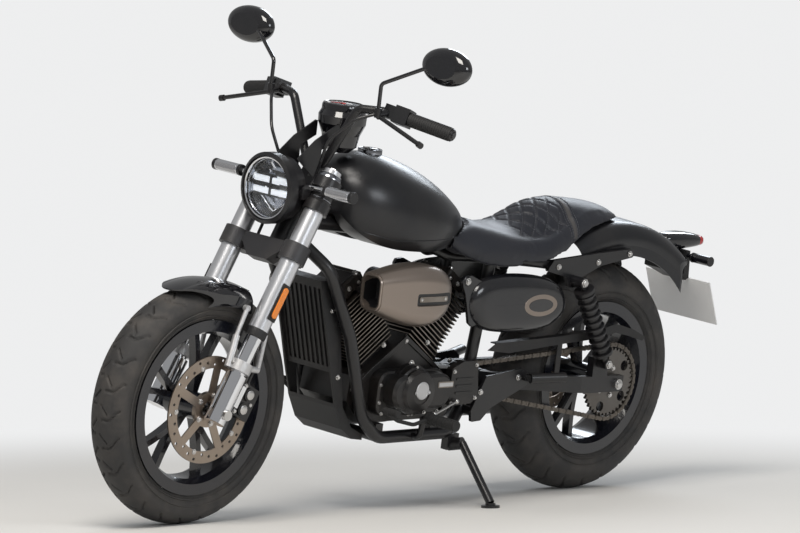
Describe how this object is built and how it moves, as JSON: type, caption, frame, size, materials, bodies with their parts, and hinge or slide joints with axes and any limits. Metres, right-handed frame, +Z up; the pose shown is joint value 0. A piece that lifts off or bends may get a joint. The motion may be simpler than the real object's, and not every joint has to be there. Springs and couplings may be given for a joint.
{
  "type": "cruiser motorcycle",
  "caption": "Small V-twin bobber-style cruiser motorcycle leaning on its side stand, with forks that steer, turning wheels and a folding stand.",
  "frame": {"origin": "on the floor, under the middle of the whole machine's box, as it leans on its side stand", "axes": "+X forward along the machine, +Y to its left, +Z up"},
  "size_m": [2.1441, 0.8578, 1.2784],
  "materials": {
    "amber": "orange reflector",
    "black_metal": "satin black paint",
    "black_plastic": "moulded black plastic",
    "bronze_paint": "bronze grey satin paint",
    "cast_grey": "grey cast aluminium",
    "chrome": "chromed steel",
    "disc_steel": "ground steel, warm from heat",
    "engine_black": "satin black on cast aluminium",
    "fork_alu": "bright anodised aluminium",
    "gloss_plastic": "gloss black plastic",
    "lens_clear": "clear lens",
    "lens_red": "red lens",
    "plate_white": "blank white plate",
    "rubber": "black rubber",
    "seat_cover": "stitched black cover",
    "sprocket_steel": "oiled steel",
    "steel": "plated steel",
    "tank_paint": "matte dark grey paint",
    "tyre": "matte road rubber",
    "wheel_black": "gloss black over cast aluminium"
  },
  "bodies": {
    "frame": {"air_cleaner": "bronze_paint", "chain": "sprocket_steel", "chain_guard": "black_plastic", "crankcase": "engine_black", "exhaust_pipes": "black_metal", "fender_struts": "black_metal", "front_cylinder": "engine_black", "fuel_cap": "tank_paint", "fuel_tank": "tank_paint", "intake": "black_plastic", "left_engine_cover": "engine_black", "left_side_cover": "tank_paint", "main_frame": "black_metal", "muffler": "black_metal", "number_plate": "plate_white", "peg_hangers": "black_metal", "plate_bracket": "black_plastic", "radiator": "black_metal", "radiator_shroud": "black_plastic", "rear_axle": "steel", "rear_caliper": "black_metal", "rear_cylinder": "engine_black", "rear_fender": "tank_paint", "rear_signals": "gloss_plastic", "rider_pegs": "rubber", "right_engine_cover": "engine_black", "right_side_cover": "tank_paint", "seat": "seat_cover", "shock_absorbers": "black_metal", "sprocket_cover": "engine_black", "swingarm": "black_metal", "tail_lens": "lens_red", "tail_light": "gloss_plastic"},
    "steering": {"fender_stays": "fork_alu", "fork_lower_tubes": "chrome", "fork_reflectors": "amber", "fork_upper_tubes": "fork_alu", "front_axle": "steel", "front_caliper": "black_metal", "front_fender": "gloss_plastic", "front_signals": "gloss_plastic", "grips": "rubber", "hand_controls": "black_metal", "handlebar": "black_metal", "headlight_bowl": "black_metal", "headlight_bracket": "black_metal", "headlight_lens": "lens_clear", "lower_clamp": "cast_grey", "mirrors": "gloss_plastic", "speedometer": "gloss_plastic", "speedometer_bracket": "black_metal", "upper_clamp": "black_metal"},
    "front_wheel": {"front_disc": "disc_steel", "front_rim": "wheel_black", "front_tyre": "tyre"},
    "rear_wheel": {"rear_disc": "disc_steel", "rear_rim": "wheel_black", "rear_sprocket": "sprocket_steel", "rear_tyre": "tyre"},
    "side_stand": {"side_stand": "black_metal"}
  },
  "joints": [
    {"name": "steering", "type": "hinge", "parent": "frame", "child": "steering", "pos_m": [0.49222, -0.05855, 0.74245], "axis": [-0.454, 0.1414, 0.8797], "range_deg": [-35, 35]},
    {"name": "front_wheel_spin", "type": "hinge", "parent": "steering", "child": "front_wheel", "pos_m": [0.77293, -0.13024, 0.29637], "axis": [0, 0.9873, -0.1587], "continuous": true},
    {"name": "rear_wheel_spin", "type": "hinge", "parent": "frame", "child": "rear_wheel", "pos_m": [-0.65207, -0.12845, 0.30753], "axis": [0, 0.9873, -0.1587], "continuous": true},
    {"name": "side_stand_fold", "type": "hinge", "parent": "frame", "child": "side_stand", "pos_m": [-0.08007, -0.0208, 0.15806], "axis": [-0.2335, 0.965, 0.1192], "range_deg": [0, 95]}
  ]
}
